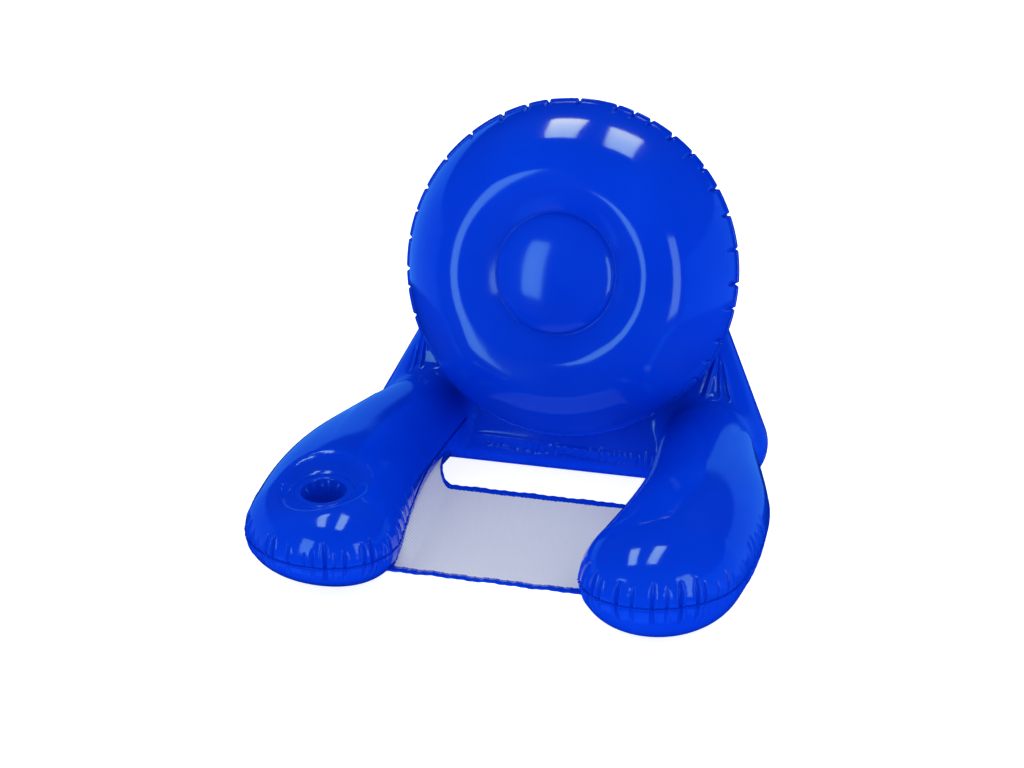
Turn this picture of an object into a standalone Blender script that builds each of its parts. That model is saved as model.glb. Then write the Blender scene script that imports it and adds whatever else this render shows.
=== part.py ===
"""Inflatable lounge chair for a pool: two arms, a back support, a round backrest and a mesh seat.

Metres, +Z up. The chair faces -Y and stands on z = 0; left and right are as seen from the front.
Every inflated body is two vinyl sheets welded along a flat seam, so each sheet is its own thin shell.
"""

import math

import bmesh
import bpy
import numpy as np
from mathutils import Matrix, Vector

# ---------------------------------------------------------------- driving dimensions
COLLECTION = "inflatable_pool_float"
SHEET = 0.0005  # thickness of the welded vinyl sheet
GAP = 0.0003  # clearance left between pieces that touch
FLANGE = 0.004  # flat welded margin outside every seam

TIP_Y = -0.453  # front tip of the arms; every other station is measured back from it
SEAM_Z = 0.098  # height of the arms' side seam above the floor
ARM_STATIONS = (0.0, 0.12, 0.28, 0.44, 0.70)  # distances back from the tip
ARM_INNER_X = (0.142, 0.164, 0.191, 0.206, 0.196)
ARM_OUTER_X = (0.427, 0.447, 0.460, 0.448, 0.350)
ARM_RISE = (0.098, 0.106, 0.112, 0.100, 0.072)  # crown of the top sheet above the seam
ARM_DROP = 0.105  # free depth of the bottom sheet, flattened by the floor
CAP_LENGTH = 0.155  # rounded front end of an arm
CAP_POWER = 2.2
ARM_REAR = 0.679  # rear end of the arms, pressed on the back support
ARM_BEND = 0.45  # from here back the arms bend to follow the support
AIR_PASSAGE_R = 0.040  # opening between an arm and the back support
AIR_PASSAGE_Z = 0.088

CUP_X = -0.310
CUP_BACK = 0.165
CUP_MOUTH_R = 0.0405
CUP_FOOT_R = 0.0350
CUP_LIP_Z = 0.168
CUP_DEPTH = 0.088
CUP_FLAT_R = 0.052  # flat ring of vinyl round the mouth
CUP_DIMPLE_R = 0.092
CUP_RING = 0.009  # width of the welded ring under the arm's sheet

SUPPORT_BACK = 0.714  # bottom seam of the back support
SUPPORT_Z = 0.0040
SUPPORT_TILT = math.radians(21.0)
SUPPORT_HEIGHT = 0.45
SUPPORT_HALF_BOTTOM = 0.447
SUPPORT_HALF_TOP = 0.228
SUPPORT_CORNER_R = 0.085
SUPPORT_TOP_R = 0.070
SUPPORT_MIDDLE_SHARE = 0.45  # height of the fullest point, as a share of the whole
SUPPORT_BULGE = 0.088  # half thickness at the middle
BULGE_POWER = 2.2

DISC_BACK = 0.738  # middle of the backrest's rim
DISC_Z = 0.4065
DISC_TILT = math.radians(15.0)
DISC_R = 0.324
CREST_R = 0.185
WELD_R = 0.115
FRONT_CREST = 0.148
FRONT_WELD = 0.122
FRONT_DOME = 0.150
REAR_CREST = 0.088
REAR_WELD = 0.056
REAR_DOME = 0.064
BAFFLE_LIP = 0.005
BAFFLE_HOLE_R = 0.012

# The backrest and its support press flat on each other along one leaning plane.
CONTACT_TILT = math.radians(18.0)
CONTACT_BACK = 0.773
CONTACT_Z = 0.30
CONTACT_TOP = 0.50  # above this height the backrest stands clear of its support

SEAT_FRONT = 0.101
SEAT_REAR = 0.483
SEAT_FRONT_Z = 0.060
SEAT_REAR_Z = 0.050
SEAT_SAG = 0.010
SEAT_RISE = 0.028  # how far the sides of the mesh climb to the arm seams
SEAT_RISE_FROM = 0.80  # share of the half width where the climb starts
SEAT_RISE_OVER = 0.25  # share of the length over which it grows from the front edge
SEAT_EAR = 0.115  # how far the rear corners reach back along the arms
SEAT_THICKNESS = 0.0008
SEAT_STRAIGHT = 0.84  # share of the half width where the rear edge starts to sweep back
SEAT_CORNER = 0.5  # share of the columns that the straight edge takes
SEAT_SWEEP = math.radians(87.3)
SEAT_SIDE_GAP = 0.0010
BINDING_WIDTH = 0.013
BINDING_START = 0.0035  # from the bend to the strip's edge
BINDING_FOLD = 0.80  # depth of the fold as a share of the width
MESH_REACH = 0.72  # how far the mesh goes into the fold
BINDING_CLEARANCE = 0.0014  # room for the mesh to twist inside the fold at the rear corners
BINDING_TURN = math.radians(45.0)
STRIP_HEIGHT = 0.014
STRIP_THICKNESS = 0.0012
STRIP_FRONT = 0.176
STRIP_REAR = 0.568

VALVE_FLANGE_R = 0.019
VALVE_FLANGE_TOP = 0.0015
NECK_R = 0.0078
NECK_COLLAR_R = 0.0092
NECK_COLLAR = 0.0010  # thickness of the collar and of the retaining bead
NECK_CLEARANCE = 0.0005
LUG_DROP = 0.0004  # from the neck's top to the lug's
NECK_BORE_R = 0.0045
NECK_TOP = 0.0029
NECK_FOOT = -0.0105
PLUG_R = 0.0086
PLUG_THICKNESS = 0.0014
STOPPER_R = 0.0041  # at the bore's mouth
STOPPER_TIP_R = 0.0028
STOPPER_TIP_Z = -0.0010
PLUG_EDGE = 0.0008  # width of the bevelled edge
PLUG_TAB = 0.0057  # length of the finger tab
STRAP_HALF_WIDTH = 0.003
KNUCKLE_R = 0.0011
PLUG_HINGE_X = 0.012
PLUG_HINGE_Z = 0.0039
FLAP_HINGE_X = 0.0075
FLAP_HINGE_Z = -0.0114
FLAP_R = 0.0052
FLAP_TOP = -0.0109
FLAP_BOTTOM = -0.0115
FLAP_EAR_HALF_WIDTH = 0.002
FLAP_PIN_R = 0.0006


# ---------------------------------------------------------------- scene helpers
def clear_scene():
    for obj in list(bpy.data.objects):
        bpy.data.objects.remove(obj, do_unlink=True)


def new_collection(name):
    collection = bpy.data.collections.new(name)
    bpy.context.scene.collection.children.link(collection)
    return collection


def principled(name, colour, roughness, alpha=1.0):
    material = bpy.data.materials.new(name)
    material.use_nodes = True
    shader = material.node_tree.nodes["Principled BSDF"]
    shader.inputs["Base Color"].default_value = (*colour, 1.0)
    shader.inputs["Roughness"].default_value = roughness
    shader.inputs["Metallic"].default_value = 0.0
    shader.inputs["Alpha"].default_value = alpha
    material.diffuse_color = (*colour, alpha)
    return material


def object_from(bm, name, collection, material=None):
    mesh = bpy.data.meshes.new(name)
    bm.to_mesh(mesh)
    bm.free()
    obj = bpy.data.objects.new(name, mesh)
    collection.objects.link(obj)
    if material:
        mesh.materials.append(material)
        mesh.shade_smooth()
        mesh.set_sharp_from_angle(angle=math.radians(40))
    return obj


def make_cutter(obj):
    obj.hide_render = True
    obj.display_type = "WIRE"
    return obj


def boolean(obj, other, operation="DIFFERENCE"):
    modifier = obj.modifiers.new(other.name, "BOOLEAN")
    modifier.operation = operation
    modifier.solver = "EXACT"
    modifier.object = other


def face_towards(bm, direction):
    """Turns the faces round if their area-weighted mean normal points away from the direction."""
    bm.normal_update()
    mean = sum((face.normal * face.calc_area() for face in bm.faces), Vector())
    if mean.dot(direction) < 0:
        bmesh.ops.reverse_faces(bm, faces=bm.faces)


def mapped_grid(columns, rows, place):
    """A grid whose vertex in column i, row j is moved to place(i, j); coincident ones are merged."""
    bm = bmesh.new()
    bmesh.ops.create_grid(bm, x_segments=columns, y_segments=rows, size=1.0)
    for vert in bm.verts:
        i = round((vert.co.x + 1) / 2 * columns)
        j = round((vert.co.y + 1) / 2 * rows)
        vert.co = place(i, j)
    bmesh.ops.remove_doubles(bm, verts=bm.verts, dist=1e-6)
    return bm


def sheet(name, columns, rows, place, outward, material, thickness=SHEET, offset=-1.0):
    """A thin shell whose outer skin is the mapped grid."""
    bm = mapped_grid(columns, rows, place)
    face_towards(bm, Vector(outward))
    obj = object_from(bm, name, parts, material)
    solidify = obj.modifiers.new("thickness", "SOLIDIFY")
    solidify.thickness = thickness
    solidify.offset = offset
    solidify.use_even_offset = True
    return obj


def turned(name, profile, frame, collection, material=None, steps=32):
    """A solid of revolution about the frame's Z axis, from (radius, height) points."""
    bm = bmesh.new()
    verts = [bm.verts.new((radius, 0.0, height)) for radius, height in profile]
    for first, second in zip(verts, verts[1:]):
        bm.edges.new((first, second))
    if profile[0][0] > 0:
        bm.edges.new((verts[-1], verts[0]))
    obj = object_from(bm, name, collection, material)
    obj.matrix_world = frame
    screw = obj.modifiers.new("turn", "SCREW")
    screw.steps = steps
    screw.render_steps = steps
    screw.use_merge_vertices = True
    screw.merge_threshold = 0.00001
    return obj


def block(name, low, high, frame, collection):
    """A box between two corners of a local frame, used as one term of a Boolean."""
    bm = bmesh.new()
    bmesh.ops.create_cube(bm, size=1.0)
    low, high = Vector(low), Vector(high)
    size = high - low
    middle = (high + low) / 2
    for vert in bm.verts:
        vert.co = Vector(vert.co * size) + middle
    obj = object_from(bm, name, collection)
    obj.matrix_world = frame
    return make_cutter(obj)


def rod(name, radius, half_length, centre, frame, collection, segments=16):
    """A round bar along the local Y axis, used as one term of a Boolean."""
    bm = bmesh.new()
    bmesh.ops.create_cone(
        bm,
        cap_ends=True,
        segments=segments,
        radius1=radius,
        radius2=radius,
        depth=2 * half_length,
        matrix=Matrix.Translation(centre) @ Matrix.Rotation(math.pi / 2, 4, "X"),
    )
    obj = object_from(bm, name, collection)
    obj.matrix_world = frame
    return make_cutter(obj)


# ---------------------------------------------------------------- curves
def curve_through(stations, values):
    """A smooth function through the values, with slopes taken from the neighbouring stations."""
    x = np.array(stations)
    y = np.array(values)
    slope = np.gradient(y, x)

    def at(s):
        s = min(max(s, x[0]), x[-1])
        k = min(int(np.searchsorted(x, s, side="right")) - 1, len(x) - 2)
        h = x[k + 1] - x[k]
        t = (s - x[k]) / h
        a = (1 + 2 * t) * (1 - t) ** 2
        b = t * (1 - t) ** 2
        c = t * t * (3 - 2 * t)
        d = t * t * (t - 1)
        return float(a * y[k] + b * h * slope[k] + c * y[k + 1] + d * h * slope[k + 1])

    return at


def smoothstep(t):
    t = min(max(t, 0.0), 1.0)
    return t * t * (3 - 2 * t)


def lerp(a, b, t):
    return a + (b - a) * t


def soft_least(a, b, width=0.006):
    """The lesser of two lengths, rounded off where they are nearly equal, never above either."""
    h = max(width - abs(a - b), 0.0) / width
    return min(a, b) - h * h * width / 4


# ---------------------------------------------------------------- frames of the leaning bodies
def leaning_frame(back, height, tilt):
    """Origin, forward normal, sideways and upward directions of a plane that leans back."""
    origin = Vector((0.0, TIP_Y + back, height))
    normal = Vector((0.0, -math.cos(tilt), math.sin(tilt)))
    up = Vector((0.0, math.sin(tilt), math.cos(tilt)))
    return origin, normal, Vector((1.0, 0.0, 0.0)), up


DISC_FRAME = leaning_frame(DISC_BACK, DISC_Z, DISC_TILT)
SUPPORT_FRAME = leaning_frame(SUPPORT_BACK, SUPPORT_Z, SUPPORT_TILT)
CONTACT_FRAME = leaning_frame(CONTACT_BACK, CONTACT_Z, CONTACT_TILT)


def reach_to_contact(point, direction):
    """Distance from a point to the contact plane along a direction."""
    origin, normal = CONTACT_FRAME[:2]
    return (origin - point).dot(normal) / direction.dot(normal)


# ---------------------------------------------------------------- back support outline
ARC_STEPS = 32


def rounded_outline(corners, radii, count):
    """Evenly spaced points along a convex polygon whose corners are arcs, counter-clockwise."""
    dense = []
    total = len(corners)
    for k in range(total):
        here = Vector(corners[k])
        before = (Vector(corners[k - 1]) - here).normalized()
        after = (Vector(corners[(k + 1) % total]) - here).normalized()
        half = before.angle(after) / 2
        centre = here + (before + after).normalized() * radii[k] / math.sin(half)
        start = here + before * radii[k] / math.tan(half) - centre
        sweep = math.pi - 2 * half
        for step in range(ARC_STEPS + 1):
            turn = Matrix.Rotation(sweep * step / ARC_STEPS, 2)
            dense.append(centre + turn @ start)
    dense.append(dense[0])
    points = np.array([tuple(p) for p in dense])
    lengths = np.r_[0.0, np.cumsum(np.linalg.norm(np.diff(points, axis=0), axis=1))]
    at = np.linspace(0.0, lengths[-1], count, endpoint=False)
    return np.stack([np.interp(at, lengths, points[:, k]) for k in (0, 1)], axis=1)


OUTLINE_COUNT = 240
SUPPORT_MIDDLE = np.array([0.0, SUPPORT_HEIGHT * SUPPORT_MIDDLE_SHARE])
SUPPORT_OUTLINE = rounded_outline(
    [
        (-SUPPORT_HALF_BOTTOM, 0.0),
        (SUPPORT_HALF_BOTTOM, 0.0),
        (SUPPORT_HALF_TOP, SUPPORT_HEIGHT),
        (-SUPPORT_HALF_TOP, SUPPORT_HEIGHT),
    ],
    [SUPPORT_CORNER_R, SUPPORT_CORNER_R, SUPPORT_TOP_R, SUPPORT_TOP_R],
    OUTLINE_COUNT,
)
OUTLINE_SPOKES = SUPPORT_OUTLINE - SUPPORT_MIDDLE
SPOKE_ANGLES = np.arctan2(OUTLINE_SPOKES[:, 1], OUTLINE_SPOKES[:, 0])
SPOKE_ORDER = np.argsort(SPOKE_ANGLES)
SPOKE_LENGTHS = np.linalg.norm(OUTLINE_SPOKES, axis=1)


def support_edge(angle):
    """Distance from the support's middle to its seam in one direction."""
    angle = math.atan2(math.sin(angle), math.cos(angle))
    return float(
        np.interp(
            angle, SPOKE_ANGLES[SPOKE_ORDER], SPOKE_LENGTHS[SPOKE_ORDER], period=2 * math.pi
        )
    )


def support_bulge(x, up, front):
    """Height of the support's sheet off its middle plane, at a place on that plane."""
    dx, dy = x - SUPPORT_MIDDLE[0], up - SUPPORT_MIDDLE[1]
    share = min(math.hypot(dx, dy) / support_edge(math.atan2(dy, dx)), 1.0)
    free = SUPPORT_BULGE * math.sqrt(max(1 - share**BULGE_POWER, 0.0))
    margin = GAP / 2 + SHEET
    if not front:
        return free + margin
    origin, normal, side, upward = SUPPORT_FRAME
    reach = reach_to_contact(origin + side * x + upward * up, normal)
    return soft_least(free + margin, reach - GAP / 2)


def support_front_y(x, z):
    """Where the support's front sheet lies, straight behind a point at this side and height."""
    origin, normal, _, upward = SUPPORT_FRAME
    up = (z - origin.z) / upward.z
    for _ in range(25):
        bulge = support_bulge(x, max(up, 0.0), True)
        up = lerp(up, (z - origin.z - bulge * normal.z) / upward.z, 0.5)
    return origin.y + up * upward.y + bulge * normal.y


# ---------------------------------------------------------------- arms
inner_x = curve_through(ARM_STATIONS, ARM_INNER_X)
outer_x = curve_through(ARM_STATIONS, ARM_OUTER_X)
arm_rise = curve_through(ARM_STATIONS, ARM_RISE)


def cap_share(back):
    """How much of its full width an arm still has this far back from the tip."""
    k = min(max((CAP_LENGTH - back) / CAP_LENGTH, 0.0), 1.0)
    return math.sqrt(max(1 - k**CAP_POWER, 0.0))


def arm_inner_edge(back):
    """Side of the inner seam at a station, the rounded front end included."""
    middle = (inner_x(back) + outer_x(back)) / 2
    half = (outer_x(back) - inner_x(back)) / 2
    return middle - half * cap_share(back)


def arm_columns(side_count, cap_count):
    """(seam x, seam station, spine x, spine station) round an arm, from inner rear to outer rear."""
    columns = []
    stations = [lerp(ARM_REAR, CAP_LENGTH, k / side_count) for k in range(side_count)]
    for back in stations:
        columns.append((inner_x(back), back, (inner_x(back) + outer_x(back)) / 2, back))
    focus = (inner_x(CAP_LENGTH) + outer_x(CAP_LENGTH)) / 2
    for k in range(cap_count + 1):
        angle = math.pi * (1 - k / cap_count)
        back = CAP_LENGTH * (1 - math.sin(angle) ** (2 / CAP_POWER))
        middle = (inner_x(back) + outer_x(back)) / 2
        half = (outer_x(back) - inner_x(back)) / 2
        columns.append((middle + half * math.cos(angle), back, focus, CAP_LENGTH))
    for back in reversed(stations):
        columns.append((outer_x(back), back, (inner_x(back) + outer_x(back)) / 2, back))
    return columns


def cup_dimple(x, y, z):
    """The top sheet's height where the cup holder's mouth pulls it down."""
    distance = math.hypot(x - CUP_X, y - (TIP_Y + CUP_BACK))
    share = smoothstep((CUP_DIMPLE_R - distance) / (CUP_DIMPLE_R - CUP_FLAT_R))
    return lerp(z, CUP_LIP_Z, share)


def arm_sheet(name, side, top, side_count, cap_count, rows, material):
    columns = arm_columns(side_count, cap_count)
    count = len(columns) - 1
    margin = GAP / 2 + SHEET

    def place(i, j):
        seam_x, seam_back, spine_x, spine_back = columns[i]
        share = math.sin(math.pi / 2 * min(j / (rows - 1), 1.0))
        x = lerp(spine_x, seam_x, share)
        back = lerp(spine_back, seam_back, share)
        if j == rows:
            before, after = columns[max(i - 1, 0)], columns[min(i + 1, count)]
            along = Vector((after[0] - before[0], after[1] - before[1])).normalized()
            x += along.y * FLANGE
            back -= along.x * FLANGE
            if i in (0, count):
                back = seam_back
        crown = math.sqrt(max(1 - share * share, 0.0))
        if top:
            z = SEAM_Z + margin + arm_rise(spine_back) * crown
        else:
            z = max(SEAM_Z - margin - ARM_DROP * crown, 0.0)
        y = TIP_Y + back
        weight = max((back - ARM_BEND) / (ARM_REAR - ARM_BEND), 0.0) ** 2
        y += (support_front_y(x, z) - 2 * GAP - SHEET - TIP_Y - ARM_REAR) * weight
        x *= side
        if top and side < 0:
            z = cup_dimple(x, y, z)
        return Vector((x, y, z))

    return sheet(name, count, rows, place, (0, 0, 1 if top else -1), material)


# ---------------------------------------------------------------- cup holder
def cup_frame():
    return Matrix.Translation((CUP_X, TIP_Y + CUP_BACK, CUP_LIP_Z))


def cup_cutter():
    """Bar as wide as the mouth that passes through the arm's top sheet."""
    radius = CUP_MOUTH_R + GAP
    reach = 0.02
    profile = [(0.0, reach), (radius, reach), (radius, -reach), (0.0, -reach)]
    return make_cutter(turned("cup_hole_cutter", profile, cup_frame(), cutters))


def cup_sleeve(material):
    """The pocket's wall: a welded ring under the arm's sheet, a tapered tube and a ledge inside."""
    top = -SHEET - GAP
    floor = -CUP_DEPTH
    ledge = floor - 2 * SHEET - GAP
    profile = [
        (CUP_MOUTH_R - SHEET, top),
        (CUP_MOUTH_R + CUP_RING, top),
        (CUP_MOUTH_R + CUP_RING, top - SHEET),
        (CUP_MOUTH_R, top - SHEET),
        (CUP_FOOT_R + SHEET, floor),
        (CUP_FOOT_R + SHEET, ledge - SHEET),
        (CUP_FOOT_R - FLANGE, ledge - SHEET),
        (CUP_FOOT_R - FLANGE, ledge),
        (CUP_FOOT_R, ledge),
        (CUP_FOOT_R, floor),
    ]
    return turned("cup_holder_sleeve", profile, cup_frame(), parts, material)


def cup_base(material):
    """The pocket's floor, a double disc welded on the sleeve's ledge."""
    top = -CUP_DEPTH
    radius = CUP_FOOT_R - GAP
    profile = [(0.0, top), (radius, top), (radius, top - 2 * SHEET), (0.0, top - 2 * SHEET)]
    return turned("cup_holder_base", profile, cup_frame(), parts, material)


# ---------------------------------------------------------------- back support
def support_sheet(name, front, material, columns=44, rows=7):
    """One sheet of the back support, in rings from its middle out to the welded margin."""
    origin, normal, side, upward = SUPPORT_FRAME
    outward = normal if front else -normal

    def place(i, j):
        spoke = OUTLINE_SPOKES[round(i * OUTLINE_COUNT / columns) % OUTLINE_COUNT]
        share = math.sin(math.pi / 2 * min(j / (rows - 1), 1.0))
        length = math.hypot(*spoke)
        if j == rows:
            share += FLANGE / length
        x, up = SUPPORT_MIDDLE + spoke * share
        bulge = support_bulge(x, up, front)
        return origin + side * x + upward * up + outward * bulge

    return sheet(name, columns, rows, place, outward, material)


def air_passage(name, side):
    """Oval opening through which an arm and the back support share their air."""
    bm = bmesh.new()
    middle_x = side * (inner_x(ARM_REAR) + outer_x(ARM_REAR)) / 2
    bmesh.ops.create_cone(
        bm,
        cap_ends=True,
        segments=24,
        radius1=AIR_PASSAGE_R,
        radius2=AIR_PASSAGE_R,
        depth=2 * SUPPORT_BULGE,
        matrix=Matrix.Translation((middle_x, TIP_Y + ARM_REAR, AIR_PASSAGE_Z))
        @ Matrix.Rotation(math.pi / 2, 4, "X"),
    )
    return make_cutter(object_from(bm, name, cutters))


# ---------------------------------------------------------------- backrest
def backrest_profile(crest, weld, dome, rim_rows=5, ring_rows=3, dome_rows=3):
    """(radius, depth) of one sheet from the rim over the crest and the ring weld to the middle."""
    profile = [(DISC_R + FLANGE, 0.0)]
    for k in range(rim_rows + 1):
        angle = math.pi / 2 * k / rim_rows
        profile.append((CREST_R + (DISC_R - CREST_R) * math.cos(angle), crest * math.sin(angle)))
    for k in range(1, ring_rows + 1):
        t = k / ring_rows
        depth = weld + (crest - weld) * math.cos(math.pi / 2 * t)
        profile.append((lerp(CREST_R, WELD_R, t), depth))
    for k in range(1, dome_rows + 1):
        angle = math.pi / 2 * k / dome_rows
        profile.append((WELD_R * math.cos(angle), weld + (dome - weld) * math.sin(angle)))
    return profile


def backrest_sheet(name, front, material, columns=40):
    """One sheet of the backrest; the rear one is pressed flat where it leans on its support."""
    origin, normal, side, upward = DISC_FRAME
    outward = normal if front else -normal
    if front:
        profile = backrest_profile(FRONT_CREST, FRONT_WELD, FRONT_DOME)
    else:
        profile = backrest_profile(REAR_CREST, REAR_WELD, REAR_DOME)
    margin = GAP / 2 + SHEET

    def place(i, j):
        radius, depth = profile[j]
        angle = 2 * math.pi * (i % columns) / columns
        point = origin + (side * math.cos(angle) + upward * math.sin(angle)) * radius
        depth += margin
        if not front and point.z < CONTACT_TOP:
            depth = soft_least(depth, reach_to_contact(point, outward) - GAP / 2)
        return point + outward * depth

    return sheet(name, columns, len(profile) - 1, place, outward, material)


def backrest_baffle(material, columns=32):
    """Ring wall inside the backrest that holds the front sheet back along the ring weld."""
    origin, normal, side, upward = DISC_FRAME
    front = FRONT_WELD - SHEET
    rear = -(REAR_WELD - SHEET)
    profile = [(WELD_R - BAFFLE_LIP, front), (WELD_R, front)]
    profile += [(WELD_R, lerp(front, rear, 0.5)), (WELD_R, rear)]
    profile += [(WELD_R - BAFFLE_LIP, rear)]

    def place(i, j):
        radius, depth = profile[j]
        angle = 2 * math.pi * (i % columns) / columns
        point = origin + (side * math.cos(angle) + upward * math.sin(angle)) * radius
        return point + normal * depth

    bm = mapped_grid(columns, len(profile) - 1, place)
    bmesh.ops.recalc_face_normals(bm, faces=bm.faces)
    obj = object_from(bm, "backrest_inner_baffle", parts, material)
    solidify = obj.modifiers.new("thickness", "SOLIDIFY")
    solidify.thickness = SHEET
    solidify.offset = 0.0
    solidify.use_even_offset = True
    return obj


def baffle_hole(name, along):
    """Round bar that cuts two air holes through opposite walls of the baffle."""
    origin, normal = DISC_FRAME[:2]
    middle = origin + normal * (FRONT_WELD - REAR_WELD) / 2
    bm = bmesh.new()
    turn = Vector((0, 0, 1)).rotation_difference(along).to_matrix().to_4x4()
    bmesh.ops.create_cone(
        bm,
        cap_ends=True,
        segments=10,
        radius1=BAFFLE_HOLE_R,
        radius2=BAFFLE_HOLE_R,
        depth=3 * WELD_R,
        matrix=Matrix.Translation(middle) @ turn,
    )
    return make_cutter(object_from(bm, name, cutters))


# ---------------------------------------------------------------- seat
SEAT_COLUMNS = 36
SEAT_ROWS = 7


def seat_half_width(back):
    return arm_inner_edge(back) - FLANGE - SEAT_SIDE_GAP


def seat_rear_curve(i):
    """(share of the half width, station) of the rear edge: straight, then swept back to the arms."""
    t = 2 * i / SEAT_COLUMNS - 1
    if abs(t) <= SEAT_CORNER:
        return SEAT_STRAIGHT * t / SEAT_CORNER, SEAT_REAR
    angle = SEAT_SWEEP * (abs(t) - SEAT_CORNER) / (1 - SEAT_CORNER)
    share = lerp(SEAT_STRAIGHT, 1.0, math.sin(angle))
    return math.copysign(share, t), SEAT_REAR + SEAT_EAR * (1 - math.cos(angle))


def seat_point(i, t):
    """A point of the mesh: i across from left to right, t from the front bend to the rear bend."""
    front_share = 2 * i / SEAT_COLUMNS - 1
    rear_share, rear_back = seat_rear_curve(i)
    share = lerp(front_share, rear_share, t)
    back = lerp(SEAT_FRONT, rear_back, t)
    sag = SEAT_SAG * math.sin(math.pi * t) * (1 - share * share)
    side = smoothstep((abs(share) - SEAT_RISE_FROM) / (1 - SEAT_RISE_FROM))
    rise = SEAT_RISE * side * smoothstep(t / SEAT_RISE_OVER)
    z = lerp(SEAT_FRONT_Z, SEAT_REAR_Z, t) - sag + rise
    return Vector((seat_half_width(back) * share, TIP_Y + back, z))


def edge_frame(i, front):
    """Point on a bend line with the direction in which the bound edge turns, and its normal."""
    t = 0.0 if front else 1.0
    here = seat_point(i, t)
    along = (seat_point(min(i + 1, SEAT_COLUMNS), t) - seat_point(max(i - 1, 0), t)).normalized()
    outward = Vector((along.y, -along.x, 0.0)).normalized()
    drop = -1 if front else 1
    if not front:
        outward = -outward
    turned_edge = outward * math.cos(BINDING_TURN) + Vector((0, 0, drop * math.sin(BINDING_TURN)))
    turned_edge = (turned_edge - along * turned_edge.dot(along)).normalized()
    return here, turned_edge, along.cross(turned_edge).normalized()


def seat_mesh(material):
    reach = BINDING_WIDTH * MESH_REACH

    def place(i, j):
        if j == 0:
            here, edge, _ = edge_frame(i, True)
            return here + edge * reach
        if j == SEAT_ROWS:
            here, edge, _ = edge_frame(i, False)
            return here + edge * reach
        return seat_point(i, (j - 1) / (SEAT_ROWS - 2))

    return sheet(
        "seat_mesh",
        SEAT_COLUMNS,
        SEAT_ROWS,
        place,
        (0, 0, 1),
        material,
        thickness=SEAT_THICKNESS,
        offset=0.0,
    )


def swept(name, profiles, material):
    """A closed bar through equal rings of points, with flat ends."""
    count = len(profiles[0])

    def place(i, j):
        return profiles[j][i % count]

    bm = mapped_grid(count, len(profiles) - 1, place)
    ends = [edge for edge in bm.edges if edge.is_boundary]
    bmesh.ops.holes_fill(bm, edges=ends, sides=count)
    bmesh.ops.recalc_face_normals(bm, faces=bm.faces)
    return object_from(bm, name, parts, material)


def binding(name, front, material):
    """Vinyl strip folded over an edge of the mesh, so its section is a narrow U."""
    slot = SEAT_THICKNESS / 2 + BINDING_CLEARANCE
    skin = slot + SHEET
    fold = BINDING_WIDTH * BINDING_FOLD
    section = [
        (BINDING_START, skin),
        (BINDING_START, slot),
        (fold, slot),
        (fold, -slot),
        (BINDING_START, -slot),
        (BINDING_START, -skin),
        (BINDING_WIDTH, -skin),
        (BINDING_WIDTH, skin),
    ]
    rings = []
    for i in range(SEAT_COLUMNS + 1):
        here, edge, normal = edge_frame(i, front)
        rings.append([here + edge * a + normal * b for a, b in section])
    return swept(name, rings, material)


def weld_strip(name, side, material, stations=14):
    """Strip that hangs from an arm's inner seam and carries the mesh's side edge."""
    top = SEAM_Z - GAP / 2 - SHEET - GAP
    low = top - STRIP_HEIGHT
    rings = []
    for k in range(stations + 1):
        back = lerp(STRIP_FRONT, STRIP_REAR, k / stations)
        near = side * (arm_inner_edge(back) - FLANGE)
        far = near + side * STRIP_THICKNESS
        section = [(near, top), (near, low), (far, low), (far, top)]
        rings.append([Vector((x, TIP_Y + back, z)) for x, z in section])
    return swept(name, rings, material)


# ---------------------------------------------------------------- valves
def valve_frame(place, forward, upward):
    """Local frame of a valve on a rear sheet: Z points out of the sheet, X up along it."""
    z = -forward
    x = upward
    y = z.cross(x)
    return Matrix.Translation(place) @ Matrix((x, y, z)).transposed().to_4x4()


def backrest_valve_frame():
    origin, normal, _, upward = DISC_FRAME
    place = origin + upward * CREST_R - normal * (REAR_CREST + GAP / 2 + SHEET)
    return valve_frame(place, normal, upward)


def support_valve_frame():
    origin, normal, _, upward = SUPPORT_FRAME
    place = origin + upward * SUPPORT_MIDDLE[1] - normal * (SUPPORT_BULGE + GAP / 2 + SHEET)
    return valve_frame(place, normal, upward)


def valve_hole(name, frame):
    radius = NECK_R + 2 * NECK_CLEARANCE
    reach = 0.02
    profile = [(0.0, reach), (radius, reach), (radius, -reach), (0.0, -reach)]
    return make_cutter(turned(name + "_hole_cutter", profile, frame, cutters, steps=24))


def valve_flange(name, frame, material):
    """Ring welded on the outside of the sheet, in which the neck slides."""
    bore = NECK_R + NECK_CLEARANCE
    profile = [
        (bore, VALVE_FLANGE_TOP),
        (VALVE_FLANGE_R - 4 * SHEET, VALVE_FLANGE_TOP),
        (VALVE_FLANGE_R, GAP + SHEET),
        (VALVE_FLANGE_R, GAP),
        (bore, GAP),
    ]
    return turned(name + "_valve_flange", profile, frame, parts, material, steps=28)


def valve_neck(name, frame, material):
    """Stem that pushes into the sheet, with a collar, a retaining bead and the plug's lug."""
    under_collar = NECK_TOP - NECK_COLLAR
    over_bead = NECK_FOOT + NECK_COLLAR
    profile = [
        (NECK_BORE_R, NECK_TOP),
        (NECK_COLLAR_R, NECK_TOP),
        (NECK_COLLAR_R, under_collar),
        (NECK_R, under_collar),
        (NECK_R, over_bead),
        (NECK_COLLAR_R, over_bead),
        (NECK_COLLAR_R, NECK_FOOT),
        (NECK_BORE_R, NECK_FOOT),
    ]
    neck = turned(name + "_valve_neck", profile, frame, parts, material, steps=24)
    lug = block(
        name + "_lug",
        (NECK_COLLAR_R - NECK_COLLAR, -STRAP_HALF_WIDTH, under_collar),
        (PLUG_HINGE_X + NECK_COLLAR, STRAP_HALF_WIDTH, NECK_TOP - LUG_DROP),
        frame,
        cutters,
    )
    boolean(neck, lug, "UNION")
    return neck


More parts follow.
